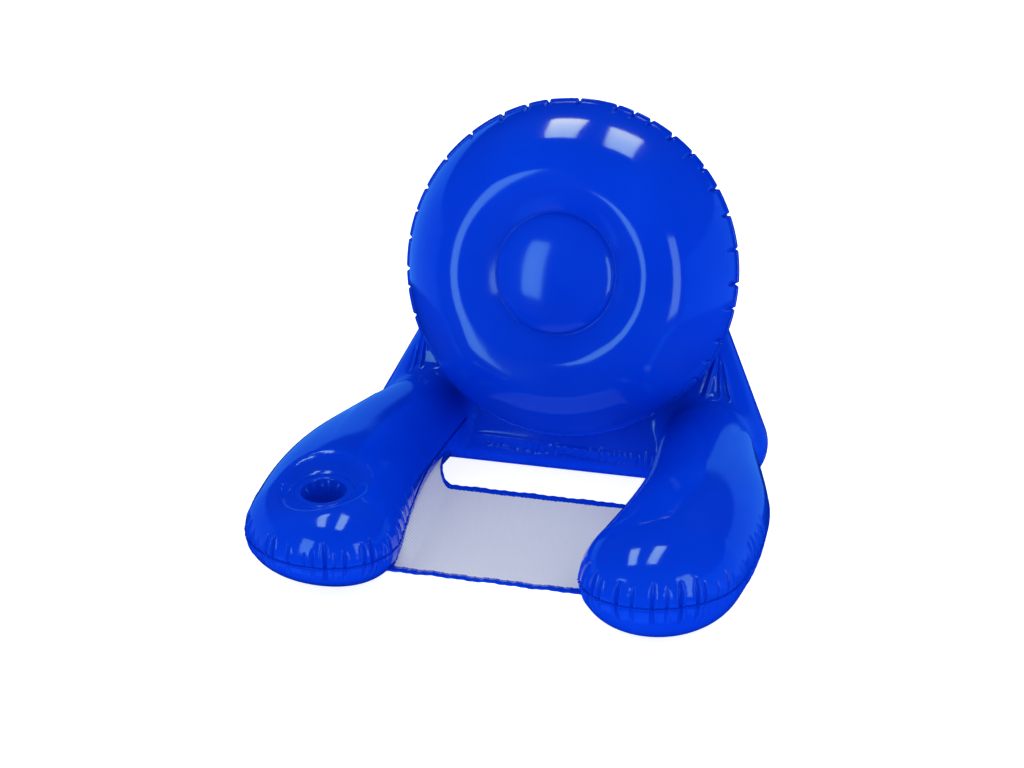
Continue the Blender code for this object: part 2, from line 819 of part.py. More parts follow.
def valve_plug(name, frame, material):
    """Cap with a tapered stopper, a strap that ends in a knuckle, and a finger tab."""
    bottom = NECK_TOP + GAP
    top = bottom + PLUG_THICKNESS
    hinge = Vector((PLUG_HINGE_X, 0.0, PLUG_HINGE_Z))
    profile = [
        (0.0, top),
        (PLUG_R - PLUG_EDGE, top),
        (PLUG_R, top - PLUG_EDGE / 2),
        (PLUG_R, bottom),
        (STOPPER_R, bottom),
        (STOPPER_TIP_R, STOPPER_TIP_Z),
        (0.0, STOPPER_TIP_Z),
    ]
    plug = hinged_disc(name + "_valve_plug", profile, hinge, frame, material)
    root = PLUG_R - PLUG_EDGE
    strap = block(
        name + "_strap",
        (root, -STRAP_HALF_WIDTH, bottom),
        hinge + Vector((0.0, STRAP_HALF_WIDTH, KNUCKLE_R / 2)),
        frame,
        cutters,
    )
    tab = block(
        name + "_tab",
        (-root - PLUG_TAB, -STRAP_HALF_WIDTH, bottom + GAP),
        (-root, STRAP_HALF_WIDTH, top - GAP),
        frame,
        cutters,
    )
    knuckle = rod(name + "_knuckle", KNUCKLE_R, STRAP_HALF_WIDTH, hinge, frame, cutters)
    for extra in (strap, tab, knuckle):
        boolean(plug, extra, "UNION")
    return plug


def valve_flap(name, frame, material):
    """Thin disc that closes the bore from inside, hung on an ear with a pin."""
    hinge = Vector((FLAP_HINGE_X, 0.0, FLAP_HINGE_Z))
    profile = [(0.0, FLAP_TOP), (FLAP_R, FLAP_TOP), (FLAP_R, FLAP_BOTTOM), (0.0, FLAP_BOTTOM)]
    flap = hinged_disc(name + "_valve_check_flap", profile, hinge, frame, material)
    ear = block(
        name + "_ear",
        (NECK_BORE_R, -FLAP_EAR_HALF_WIDTH, FLAP_BOTTOM),
        hinge + Vector((0.0, FLAP_EAR_HALF_WIDTH, FLAP_PIN_R / 2)),
        frame,
        cutters,
    )
    pin = rod(
        name + "_flap_pin", FLAP_PIN_R, FLAP_EAR_HALF_WIDTH, hinge, frame, cutters, segments=12
    )
    for extra in (ear, pin):
        boolean(flap, extra, "UNION")
    return flap


def hinged_disc(name, profile, hinge, frame, material, steps=24):
    """A turned piece on the valve's axis whose own origin lies on its hinge."""
    bm = bmesh.new()
    verts = [bm.verts.new((radius, 0.0, height)) for radius, height in profile]
    edges = [bm.edges.new(pair) for pair in zip(verts, verts[1:])]
    bmesh.ops.spin(
        bm,
        geom=verts + edges,
        cent=(0, 0, 0),
        axis=(0, 0, 1),
        angle=2 * math.pi,
        steps=steps,
        use_merge=True,
    )
    bmesh.ops.remove_doubles(bm, verts=bm.verts, dist=1e-6)
    bmesh.ops.recalc_face_normals(bm, faces=bm.faces)
    bmesh.ops.translate(bm, verts=bm.verts, vec=-hinge)
    obj = object_from(bm, name, parts, material)
    obj.matrix_world = frame @ Matrix.Translation(hinge)
    return obj


def valve(name, frame, host, material):
    boolean(host, valve_hole(name, frame))
    valve_flange(name, frame, material)
    neck = valve_neck(name, frame, material)
    for piece in (valve_plug(name, frame, material), valve_flap(name, frame, material)):
        world = piece.matrix_world.copy()
        piece.parent = neck
        piece.matrix_parent_inverse = neck.matrix_world.inverted()
        piece.matrix_world = world


# ---------------------------------------------------------------- assembly
clear_scene()
parts = new_collection(COLLECTION)
cutters = new_collection("cutters")

vinyl = principled("glossy_blue_vinyl", (0.0, 0.022, 0.60), 0.12)
inner_vinyl = principled("inner_blue_vinyl", (0.0, 0.018, 0.50), 0.35)
mesh_fabric = principled("pale_woven_mesh", (0.56, 0.60, 0.74), 0.85)
valve_vinyl = principled("soft_valve_vinyl", (0.10, 0.20, 0.66), 0.30)

for side_name, side_sign in (("left", -1), ("right", 1)):
    fine = side_sign < 0
    counts = (10, 16, 11) if fine else (7, 12, 7)
    arm_top = arm_sheet(f"arm_{side_name}_top_sheet", side_sign, True, *counts, vinyl)
    arm_sheet(f"arm_{side_name}_bottom_sheet", side_sign, False, 7, 12, 7, vinyl)
    if fine:
        boolean(arm_top, cup_cutter())
cup_sleeve(vinyl)
cup_base(vinyl)

support_front = support_sheet("back_support_front_sheet", True, vinyl)
support_rear = support_sheet("back_support_rear_sheet", False, vinyl)
for side_name, side_sign in (("left", -1), ("right", 1)):
    boolean(support_front, air_passage(f"{side_name}_air_passage", side_sign))

backrest_sheet("backrest_front_sheet", True, vinyl)
backrest_rear = backrest_sheet("backrest_rear_sheet", False, vinyl)
baffle = backrest_baffle(inner_vinyl)
boolean(baffle, baffle_hole("baffle_side_holes", Vector((1, 0, 0))))
boolean(baffle, baffle_hole("baffle_upright_holes", DISC_FRAME[3]))

seat_mesh(mesh_fabric)
binding("seat_front_binding", True, vinyl)
binding("seat_rear_binding", False, vinyl)
for side_name, side_sign in (("left", -1), ("right", 1)):
    weld_strip(f"seat_{side_name}_weld_strip", side_sign, vinyl)

valve("backrest", backrest_valve_frame(), backrest_rear, valve_vinyl)
valve("back_support", support_valve_frame(), support_rear, valve_vinyl)
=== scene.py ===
import math

import bmesh
import bpy
import numpy as np
from mathutils import Matrix, Vector
from mathutils.bvhtree import BVHTree


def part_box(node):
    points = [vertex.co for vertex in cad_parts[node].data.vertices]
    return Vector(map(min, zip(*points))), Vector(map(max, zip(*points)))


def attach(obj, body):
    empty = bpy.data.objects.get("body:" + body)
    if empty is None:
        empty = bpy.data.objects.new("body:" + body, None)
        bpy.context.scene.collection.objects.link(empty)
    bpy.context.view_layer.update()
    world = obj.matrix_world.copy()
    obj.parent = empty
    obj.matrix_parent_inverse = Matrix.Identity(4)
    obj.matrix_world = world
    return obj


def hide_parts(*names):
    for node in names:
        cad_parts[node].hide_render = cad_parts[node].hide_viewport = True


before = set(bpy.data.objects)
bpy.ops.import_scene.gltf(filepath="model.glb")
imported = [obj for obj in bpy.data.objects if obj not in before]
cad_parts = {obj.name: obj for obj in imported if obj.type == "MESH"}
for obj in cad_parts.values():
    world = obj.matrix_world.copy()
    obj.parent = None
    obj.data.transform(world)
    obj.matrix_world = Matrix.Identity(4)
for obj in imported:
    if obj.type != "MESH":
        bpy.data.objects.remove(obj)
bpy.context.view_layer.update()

# ---------------------------------------------------------------- sizes, in metres, as in the CAD
TIP_Y = -0.453
SEAM_Z = 0.098
ARM_STATIONS = (0.0, 0.12, 0.28, 0.44, 0.70)
ARM_INNER_X = {-1: (0.136, 0.156, 0.183, 0.201, 0.196), 1: (0.148, 0.170, 0.199, 0.211, 0.196)}
ARM_OUTER_X = (0.427, 0.447, 0.460, 0.448, 0.350)
ARM_RISE = (0.098, 0.106, 0.112, 0.100, 0.072)
ARM_DROP = 0.105
LEFT_TIP_LIFT = 0.028
CAP_LENGTH = 0.155
CAP_POWER = 2.2
ARM_REAR = 0.679
ARM_INTO_SUPPORT = 0.035
SKIN = 0.0008

CUP_X = -0.310
CUP_Y = TIP_Y + 0.165
CUP_MOUTH_R = 0.0405
CUP_FOOT_R = 0.0350
CUP_LIP_Z = 0.168
CUP_LEAN = 0.115
CUP_DEPTH = 0.088
CUP_FLAT_R = 0.053
CUP_DIMPLE_R = 0.090

SUPPORT_BACK = 0.714
SUPPORT_Z = 0.0040
SUPPORT_TILT = math.radians(21.0)
SUPPORT_HEIGHT = 0.45
SUPPORT_HALF_BOTTOM = 0.447
SUPPORT_HALF_TOP = 0.228
SUPPORT_CORNER_R = 0.085
SUPPORT_TOP_R = 0.07
SUPPORT_BULGE = 0.088

DISC_BACK = 0.738
DISC_Z = 0.4065
DISC_TILT = math.radians(15.0)
DISC_R = 0.324
CREST_R = 0.185
WELD_R = 0.115
RIM_POWER = (2.2, 2.6)
RIM_ROUND = (0.80, 0.52)
DISC_LIFT = 0.009
FRONT_HEIGHTS = (0.148, 0.122, 0.150)
REAR_HEIGHTS = (0.088, 0.056, 0.064)

CONTACT_TILT = math.radians(18.0)
CONTACT_BACK = 0.773
CONTACT_Z = 0.30

SEAT_FRONT = 0.101
SEAT_REAR = 0.483
SEAT_FRONT_Z = 0.060
SEAT_REAR_Z = 0.050
SEAT_SAG = 0.010
SEAT_RISE = 0.028
SEAT_EAR = 0.115


# ---------------------------------------------------------------- small maths
def smoothstep(t):
    t = np.clip(t, 0.0, 1.0)
    return t * t * (3 - 2 * t)


def curve_through(stations, values):
    """A smooth function through the values, with slopes taken from the neighbouring stations."""
    x, y = np.array(stations), np.array(values)
    slope = np.gradient(y, x)

    def at(s):
        s = np.clip(s, x[0], x[-1])
        k = np.clip(np.searchsorted(x, s, side="right") - 1, 0, len(x) - 2)
        h = x[k + 1] - x[k]
        t = (s - x[k]) / h
        return (
            (1 + 2 * t) * (1 - t) ** 2 * y[k]
            + t * (1 - t) ** 2 * h * slope[k]
            + t * t * (3 - 2 * t) * y[k + 1]
            + t * t * (t - 1) * h * slope[k + 1]
        )

    return at


def soft_least(a, b, width=0.006):
    """The smaller of two values, rounded off where they are nearly equal."""
    h = np.maximum(width - np.abs(a - b), 0.0) / width
    return np.minimum(a, b) - h * h * width / 4


def wander(seed, x, wavelengths, amplitude):
    """A smooth irregular function of x: a few sines of the given wavelengths with random phases."""
    rng = np.random.default_rng(seed)
    total = np.zeros_like(x)
    for wavelength in wavelengths:
        total += rng.uniform(0.6, 1.0) * np.sin(2 * math.pi * x / wavelength + rng.uniform(0, 6.28))
    return amplitude * total / len(wavelengths)


def leaning_frame(back, height, tilt):
    """Origin, normal, side and upward direction of a plane that leans back by tilt."""
    origin = np.array([0.0, TIP_Y + back, height])
    normal = np.array([0.0, -math.cos(tilt), math.sin(tilt)])
    up = np.array([0.0, math.sin(tilt), math.cos(tilt)])
    return origin, normal, np.array([1.0, 0.0, 0.0]), up


DISC_FRAME = leaning_frame(DISC_BACK, DISC_Z, DISC_TILT)
SUPPORT_FRAME = leaning_frame(SUPPORT_BACK, SUPPORT_Z, SUPPORT_TILT)
CONTACT_FRAME = leaning_frame(CONTACT_BACK, CONTACT_Z, CONTACT_TILT)


def reach_to_contact(points, direction):
    """Distance from each point along direction to the plane where backrest and support meet."""
    origin, normal = CONTACT_FRAME[:2]
    return (origin - points) @ normal / (direction @ normal)


# ---------------------------------------------------------------- mesh helpers
def mesh_object(name, verts, faces, material=None):
    mesh = bpy.data.meshes.new(name)
    mesh.from_pydata(np.asarray(verts).tolist(), [], faces)
    mesh.validate()
    obj = bpy.data.objects.new(name, mesh)
    bpy.context.scene.collection.objects.link(obj)
    mesh.shade_smooth()
    if material:
        mesh.materials.append(material)
    return obj


def grid_faces(columns, rows, closed=False, offset=0, flip=False):
    """Quads of a grid of columns x rows points; a closed one joins its last column to its first."""
    span = columns if closed else columns - 1
    i, j = np.meshgrid(np.arange(span), np.arange(rows - 1), indexing="ij")
    k = (i + 1) % columns
    quads = np.stack([i * rows + j, k * rows + j, k * rows + j + 1, i * rows + j + 1], axis=-1)
    quads = quads.reshape(-1, 4) + offset
    if flip:
        quads = quads[:, ::-1]
    return quads


def grid_object(name, points, material, closed=False, flip=False):
    columns, rows = points.shape[:2]
    faces = grid_faces(columns, rows, closed, flip=flip)
    return mesh_object(name, points.reshape(-1, 3), faces.tolist(), material)


def add_grid(obj, points, closed=False):
    """Adds one more mapped grid to an object's mesh."""
    extra = grid_object("extra", points, None, closed)
    bm = bmesh.new()
    bm.from_mesh(obj.data)
    bm.from_mesh(extra.data)
    bm.to_mesh(obj.data)
    bm.free()
    bpy.data.objects.remove(extra)
    obj.data.shade_smooth()


def merged(obj, distance=1e-5):
    bm = bmesh.new()
    bm.from_mesh(obj.data)
    bmesh.ops.remove_doubles(bm, verts=bm.verts, dist=distance)
    bm.to_mesh(obj.data)
    bm.free()
    return obj


def grid_normals(points, closed=False):
    """Unit normals of a mapped grid at its points."""
    if closed:
        along = np.roll(points, -1, axis=0) - np.roll(points, 1, axis=0)
    else:
        along = np.gradient(points, axis=0)
    across = np.gradient(points, axis=1)
    normals = np.cross(along, across)
    length = np.linalg.norm(normals, axis=-1, keepdims=True)
    return normals / np.maximum(length, 1e-12)


def row_lengths(points):
    """Distance along each column from its last row, which is the seam."""
    steps = np.linalg.norm(np.diff(points, axis=1), axis=-1)
    lengths = np.concatenate([np.zeros((len(points), 1)), np.cumsum(steps, axis=1)], axis=1)
    return lengths[:, -1:] - lengths


# ---------------------------------------------------------------- puckers along a seam
def pucker_places(seed, low, high, least, most, depth, reach, width):
    """(place, depth, reach, width) of every pucker along a stretch of seam, unevenly spaced."""
    rng = np.random.default_rng(seed)
    places, at = [], low + rng.uniform(0.2, 0.8) * least
    while at < high:
        size = rng.uniform(0.45, 1.0) if rng.random() < 0.75 else rng.uniform(0.2, 0.45)
        places.append(
            (
                at,
                depth * size,
                reach * (0.45 + 0.55 * size) * rng.uniform(0.85, 1.15),
                width * (0.6 + 0.5 * size),
            )
        )
        at += rng.uniform(least, most)
    return places


def pucker_depth(s, t, places, period=None, ridge=0.35):
    """How far a skin is pulled in at distance s along the seam and t away from it.

    Each pucker is a groove shaped like a lens, with a low ridge along either side.
    """
    total = np.zeros(np.broadcast(s, t).shape)
    for place, depth, reach, width in places:
        ds = s - place
        if period:
            ds = (ds + period / 2) % period - period / 2
        u = np.clip(t / reach, 0.0, 1.0)
        x = np.abs(ds) / (width * (0.45 + 0.55 * np.sin(math.pi * (0.15 + 0.75 * u))))
        groove = np.exp(-x * x) - ridge * np.exp(-((x - 1.7) ** 2) / 0.5)
        total += depth * groove * np.sqrt(1 - u**3)
    return total


# ---------------------------------------------------------------- arms
inner_x = {side: curve_through(ARM_STATIONS, ARM_INNER_X[side]) for side in (-1, 1)}
outer_x = curve_through(ARM_STATIONS, ARM_OUTER_X)
arm_rise = curve_through(ARM_STATIONS, ARM_RISE)


def arm_columns(side, side_count, cap_count):
    """(seam x, seam station, spine x, spine station) round an arm, from inner rear to outer rear."""
    back = np.linspace(ARM_REAR, CAP_LENGTH, side_count, endpoint=False)
    middle = (inner_x[side](back) + outer_x(back)) / 2
    inner = np.stack([inner_x[side](back), back, middle, back], axis=1)
    outer = np.stack([outer_x(back), back, middle, back], axis=1)[::-1]
    angle = math.pi * (1 - np.arange(cap_count + 1) / cap_count)
    cap_back = CAP_LENGTH * (1 - np.clip(np.sin(angle), 0, 1) ** (2 / CAP_POWER))
    middle = (inner_x[side](cap_back) + outer_x(cap_back)) / 2
    half = (outer_x(cap_back) - inner_x[side](cap_back)) / 2
    focus = (inner_x[side](CAP_LENGTH) + outer_x(CAP_LENGTH)) / 2
    cap = np.stack(
        [
            middle + half * np.cos(angle),
            cap_back,
            np.full_like(angle, focus),
            np.full_like(angle, CAP_LENGTH),
        ],
        axis=1,
    )
    return np.concatenate([inner, cap, outer])


def cup_lip(y):
    """Height of the mouth's rim, which leans towards the front."""
    return CUP_LIP_Z + CUP_LEAN * (y - CUP_Y)


def arm_grid(side, top, side_count, cap_count, rows):
    """Points of one sheet of an arm, (columns, rows, 3), from its spine to its seam."""
    columns = arm_columns(side, side_count, cap_count)[:, None, :]
    share = np.sin(math.pi / 2 * np.linspace(0, 1, rows))[None, :]
    x = columns[..., 2] + (columns[..., 0] - columns[..., 2]) * share
    back = columns[..., 3] + (columns[..., 1] - columns[..., 3]) * share
    crown = np.sqrt(np.clip(1 - share**2, 0, 1))
    if top:
        z = SEAM_Z + arm_rise(columns[..., 3]) * crown
    else:
        drop = np.full_like(x, ARM_DROP)
        if side < 0:
            drop = drop - LEFT_TIP_LIFT * smoothstep((0.17 - back) / 0.15)
        z = np.maximum(SEAM_Z - drop * crown, 0.0)
    y = TIP_Y + back
    weight = np.clip((back - 0.45) / (ARM_REAR - 0.45), 0, None) ** 2
    y = y + (support_front_y(x, z) + ARM_INTO_SUPPORT - TIP_Y - ARM_REAR) * weight
    x = x * side
    if top and side < 0:
        turn = np.arctan2(y - CUP_Y, x - CUP_X)
        uneven = 1 + 0.05 * np.cos(2 * turn - 0.9) + 0.04 * np.cos(3 * turn + 0.6)
        uneven = uneven + 0.50 * np.clip(-np.sin(turn), 0, 1) ** 1.6
        distance = np.hypot(x - CUP_X, y - CUP_Y)
        edge = CUP_DIMPLE_R * uneven
        dip = smoothstep((edge - distance) / (edge - CUP_FLAT_R))
        z = z + (cup_lip(y) - z) * dip
    return np.stack([x, y, z], axis=-1)


# ---------------------------------------------------------------- back support
def rounded_outline(corners, radii, count):
    """Evenly spaced points along a convex polygon whose corners are arcs, counter-clockwise."""
    dense = []
    total = len(corners)
    for k in range(total):
        here = Vector(corners[k])
        before = (Vector(corners[k - 1]) - here).normalized()
        after = (Vector(corners[(k + 1) % total]) - here).normalized()
        half = before.angle(after) / 2
        centre = here + (before + after).normalized() * radii[k] / math.sin(half)
        start = here + before * radii[k] / math.tan(half) - centre
        sweep = math.pi - 2 * half
        for step in range(33):
            dense.append(centre + Matrix.Rotation(sweep * step / 32, 2) @ start)
    dense.append(dense[0])
    points = np.array([tuple(p) for p in dense])
    lengths = np.r_[0.0, np.cumsum(np.linalg.norm(np.diff(points, axis=0), axis=1))]
    at = np.linspace(0.0, lengths[-1], count, endpoint=False)
    return np.stack([np.interp(at, lengths, points[:, k]) for k in (0, 1)], axis=1)


OUTLINE_COUNT = 720
SUPPORT_MIDDLE = np.array([0.0, SUPPORT_HEIGHT * 0.45])
SUPPORT_OUTLINE = rounded_outline(
    [
        (-SUPPORT_HALF_BOTTOM, 0.0),
        (SUPPORT_HALF_BOTTOM, 0.0),
        (SUPPORT_HALF_TOP, SUPPORT_HEIGHT),
        (-SUPPORT_HALF_TOP, SUPPORT_HEIGHT),
    ],
    [SUPPORT_CORNER_R, SUPPORT_CORNER_R, SUPPORT_TOP_R, SUPPORT_TOP_R],
    OUTLINE_COUNT,
)
SPOKES = SUPPORT_OUTLINE - SUPPORT_MIDDLE
SPOKE_ANGLES = np.arctan2(SPOKES[:, 1], SPOKES[:, 0])
SPOKE_ORDER = np.argsort(SPOKE_ANGLES)
SPOKE_LENGTHS = np.linalg.norm(SPOKES, axis=1)


def support_bulge(x, up, front):
    """Height of the support's skin off its middle plane."""
    dx, dy = x - SUPPORT_MIDDLE[0], up - SUPPORT_MIDDLE[1]
    edge = np.interp(
        np.arctan2(dy, dx), SPOKE_ANGLES[SPOKE_ORDER], SPOKE_LENGTHS[SPOKE_ORDER], period=2 * math.pi
    )
    share = np.minimum(np.hypot(dx, dy) / edge, 1.0)
    free = SUPPORT_BULGE * np.sqrt(np.clip(1 - share**2.2, 0, 1))
    if not front:
        return free
    origin, normal, side, upward = SUPPORT_FRAME
    points = origin + side * np.asarray(x)[..., None] + upward * np.asarray(up)[..., None]
    return soft_least(free, reach_to_contact(points, normal))


def support_front_y(x, z):
    """The y of the support's front skin at a given x and height."""
    origin, normal, _, upward = SUPPORT_FRAME
    up = (z - origin[2]) / upward[2]
    for _ in range(25):
        bulge = support_bulge(x, np.maximum(up, 0.0), True)
        up = 0.5 * up + 0.5 * (z - origin[2] - bulge * normal[2]) / upward[2]
    return origin[1] + up * upward[1] + bulge * normal[1]


def support_grid(front, rows):
    """Points of one sheet of the support, (columns, rows, 3), from its middle to its seam."""
    origin, normal, side, upward = SUPPORT_FRAME
    share = np.sin(math.pi / 2 * np.linspace(0, 1, rows))
    flat = SUPPORT_MIDDLE + SPOKES[:, None, :] * share[None, :, None]
    bulge = support_bulge(flat[..., 0], flat[..., 1], front)
    if not front:
        bulge = -bulge
    return origin + side * flat[..., :1] + upward * flat[..., 1:] + normal * bulge[..., None]


# ---------------------------------------------------------------- lookup on mapped grids
def share_along(offset, side):
    """How far each offset reaches along a side, from 0 to 1."""
    along = np.einsum("ij,ij->i", offset, side)
    return np.clip(along / np.maximum(np.einsum("ij,ij->i", side, side), 1e-14), 0, 1)


class Skin:
    """A set of mapped grids that gives the nearest place on it and the values kept there."""

    def __init__(self, grids, closed):
        verts, faces, offset = [], [], 0
        for points, loop in zip(grids, closed):
            columns, rows = points.shape[:2]
            quads = grid_faces(columns, rows, loop, offset)
            verts.append(points.reshape(-1, 3))
            faces.append(quads)
            offset += columns * rows
        self.verts = np.concatenate(verts)
        self.faces = np.concatenate(faces)
        self.tree = BVHTree.FromPolygons(self.verts.tolist(), self.faces.tolist())

    def nearest(self, points):
        """(nearest points, distances, face indices) for each point."""
        places = np.empty((len(points), 3))
        distances = np.empty(len(points))
        index = np.empty(len(points), dtype=int)
        for k, point in enumerate(points.tolist()):
            place, _, face, distance = self.tree.find_nearest(point)
            places[k], distances[k], index[k] = place, distance, face
        return places, distances, index

    def read(self, values, places, index):
        """Bilinear values at places on the given faces."""
        quad = self.faces[index]
        a, b, d = self.verts[quad[:, 0]], self.verts[quad[:, 1]], self.verts[quad[:, 3]]
        u, v = (share_along(places - a, side - a)[:, None] for side in (b, d))
        va, vb, vc, vd = (values[quad[:, k]].reshape(len(index), -1) for k in range(4))
        return (va * (1 - u) + vb * u) * (1 - v) + (vd * (1 - u) + vc * u) * v


# ---------------------------------------------------------------- base: arms and support as one skin
VOXEL = 0.0038
FILLET = 0.040
PUCKERED = (0.40, 1.28)
ARM_PUCKERS = {
    -1: pucker_places(11, 0.44, 1.10, 0.015, 0.038, 0.0062, 0.050, 0.0034),
    1: pucker_places(23, 0.44, 1.22, 0.014, 0.036, 0.0062, 0.052, 0.0034),
}
WELD_GROOVE = 0.0012
FLANGE_LAST = (0.98, 1.26)
CREASE_WIDTH = 0.012  # width of the blend between arms and support near the floor
CREASE_TOP = 0.085  # height where the blend starts to widen to FILLET
RELAX_ROUNDS = 90
PULL_REACH = 0.0015  # points this near an arm's sheet follow its puckers
PULL_LEAST = 0.0002  # a point that moves more than this gets finer faces

# Creases of the support's front, from (x, up) to (x, up) in its own plane, then width and height.
SUPPORT_CREASES = [
    ((0.294, 0.262), (0.352, 0.092), 0.0050, 0.0046),
    ((0.291, 0.262), (0.262, 0.105), 0.0050, 0.0046),
    ((0.293, 0.262), (0.309, 0.135), 0.0040, 0.0030),
    ((-0.300, 0.262), (-0.310, 0.098), 0.0055, 0.0048),
    ((-0.316, 0.225), (-0.324, 0.100), 0.0050, 0.0040),
    ((-0.228, 0.095), (-0.218, -0.004), 0.0050, 0.0040),
    ((-0.190, 0.052), (-0.020, 0.046), 0.0080, 0.0024),
    ((-0.040, 0.044), (0.205, 0.036), 0.0080, 0.0028),
]


def support_puckers():
    """(x, up, half length, width, depth) of the short grooves along the support's lower crease."""
    rng = np.random.default_rng(31)
    places, x = [], -0.15
    while x < 0.20:
        places.append(
            (
                x,
                0.036 + rng.uniform(-0.003, 0.005),
                rng.uniform(0.007, 0.014),
                0.0022,
                0.0022 * rng.uniform(0.5, 1),
            )
        )
        x += rng.uniform(0.007, 0.022)
    return places


def support_wrinkles(x, up):
    """How far the support's front skin stands out at each place."""
    total = np.zeros_like(x)
    for (ax, au), (bx, bu), width, height in SUPPORT_CREASES:
        length = math.hypot(bx - ax, bu - au)
        ex, eu = (bx - ax) / length, (bu - au) / length
        along = ((x - ax) * ex + (up - au) * eu) / length
        across = (x - ax) * eu - (up - au) * ex
        w = width * (0.5 + 0.8 * np.clip(along, 0, 1))
        fade = smoothstep(along / 0.2) * smoothstep((1 - along) / 0.35)
        total += height * fade * (np.exp(-((across / w) ** 2)) - 0.7 * np.exp(-((across / w - 1.8) ** 2)))
    for px, pu, half, width, depth in support_puckers():
        v = np.clip(np.abs(up - pu) / half, 0, 1)
        total -= depth * np.exp(-(((x - px) / width) ** 2)) * np.sqrt(1 - v * v)
    total += 0.0030 * smoothstep((0.02 - up) / 0.02) * np.sin(2 * math.pi * x / 0.055) * (np.abs(x) < 0.2)
    return total


def base_shapes():
    """Grids of the arms' sheets, the pull of the puckers at every point, and the pulled seams."""
    arm_grids, arm_pull, seams = [], [], []
    for side in (-1, 1):
        for top in (True, False):
            points = arm_grid(side, top, 150, 330, 70)
            normals = grid_normals(points)
            outward = 1 if (normals[..., 2].mean() > 0) == top else -1
            seam = points[:, -1]
            s = np.r_[0.0, np.cumsum(np.linalg.norm(np.diff(seam, axis=0), axis=1))][:, None]
            t = row_lengths(points)
            places = ARM_PUCKERS[side]
            if not top:
                places = [(a, d, 0.75 * r, w) for a, d, r, w in places]
            fade = smoothstep((s - PUCKERED[0]) / 0.08) * smoothstep((PUCKERED[1] - s) / 0.12)
            depth = pucker_depth(s, t, places) * fade + WELD_GROOVE * np.exp(-((t / 0.0035) ** 2))
            arm_grids.append(points)
            arm_pull.append((-depth[..., None] * normals * outward).reshape(-1, 3))
            if top:
                way = np.gradient(seam, axis=0)
                out = np.stack([way[:, 1], -way[:, 0], 0 * way[:, 0]], axis=1) * side
                out /= np.linalg.norm(out, axis=1, keepdims=True)
                seams.append((seam - out * depth[:, -1:], -out, s[:, 0]))
    return arm_grids, np.concatenate(arm_pull), seams


def seam_flange(line, out, s, last):
    """The welded lip that stands out along an arm's seam, as a closed strip."""
    height = wander(7, s, (0.11, 0.043, 0.017), 0.0012)
    shown = smoothstep((s - PUCKERED[0]) / 0.08) * smoothstep((last - s) / 0.08)
    reach = (0.0030 + wander(8, s, (0.031, 0.012), 0.0007)) * shown + 0.0003
    shape = [(-0.0030, 0.0010), (0.6, 0.0005), (1.0, 0.0), (0.6, -0.0005), (-0.0030, -0.0010)]
    shape.append(shape[0])
    rows = []
    for r, z in shape:
        across = reach * r if r > 0 else np.full_like(s, r)
        rows.append(line + out * across[:, None] + np.array([0, 0, 1.0]) * (height + z)[:, None])
    return np.stack(rows, axis=1)


def closed_shape(name, grids, closed, caps=()):
    """One closed mesh from mapped grids and the caps between their ends."""
    verts, faces, offset = [], [], 0
    for points, loop in zip(grids, closed):
        verts.append(points.reshape(-1, 3))
        faces.append(grid_faces(*points.shape[:2], loop, offset))
        offset += points.shape[0] * points.shape[1]
    for cap in caps:
        verts.append(cap.reshape(-1, 3))
        faces.append(grid_faces(*cap.shape[:2], False, offset))
        offset += cap.shape[0] * cap.shape[1]
    obj = mesh_object(name, np.concatenate(verts), np.concatenate(faces).tolist())
    bm = bmesh.new()
    bm.from_mesh(obj.data)
    bmesh.ops.remove_doubles(bm, verts=bm.verts, dist=1e-5)
    bmesh.ops.recalc_face_normals(bm, faces=bm.faces)
    bm.to_mesh(obj.data)
    bm.free()
    return obj


def ruled(first, second, rows):
    """A grid of straight lines between two rows of points."""
    t = np.linspace(0, 1, rows)[None, :, None]
    return first[:, None, :] * (1 - t) + second[:, None, :] * t


def support_flange():
    """The welded lip round the support's outline, as a closed strip."""
    origin, _, side, upward = SUPPORT_FRAME
    outline = np.concatenate([SUPPORT_OUTLINE, SUPPORT_OUTLINE[:1]])
    way = np.roll(SUPPORT_OUTLINE, -1, axis=0) - np.roll(SUPPORT_OUTLINE, 1, axis=0)
    way /= np.linalg.norm(way, axis=1, keepdims=True)
    way = np.concatenate([way, way[:1]])
    line = origin + side * outline[:, :1] + upward * outline[:, 1:]
    out = side * way[:, 1:] - upward * way[:, :1]
    shape = [(-0.0030, 0.0010), (0.0028, 0.0004), (0.0028, -0.0004), (-0.0030, -0.0010), (-0.0030, 0.0010)]
    return np.stack([line + out * r + SUPPORT_FRAME[1] * z for r, z in shape], axis=1)


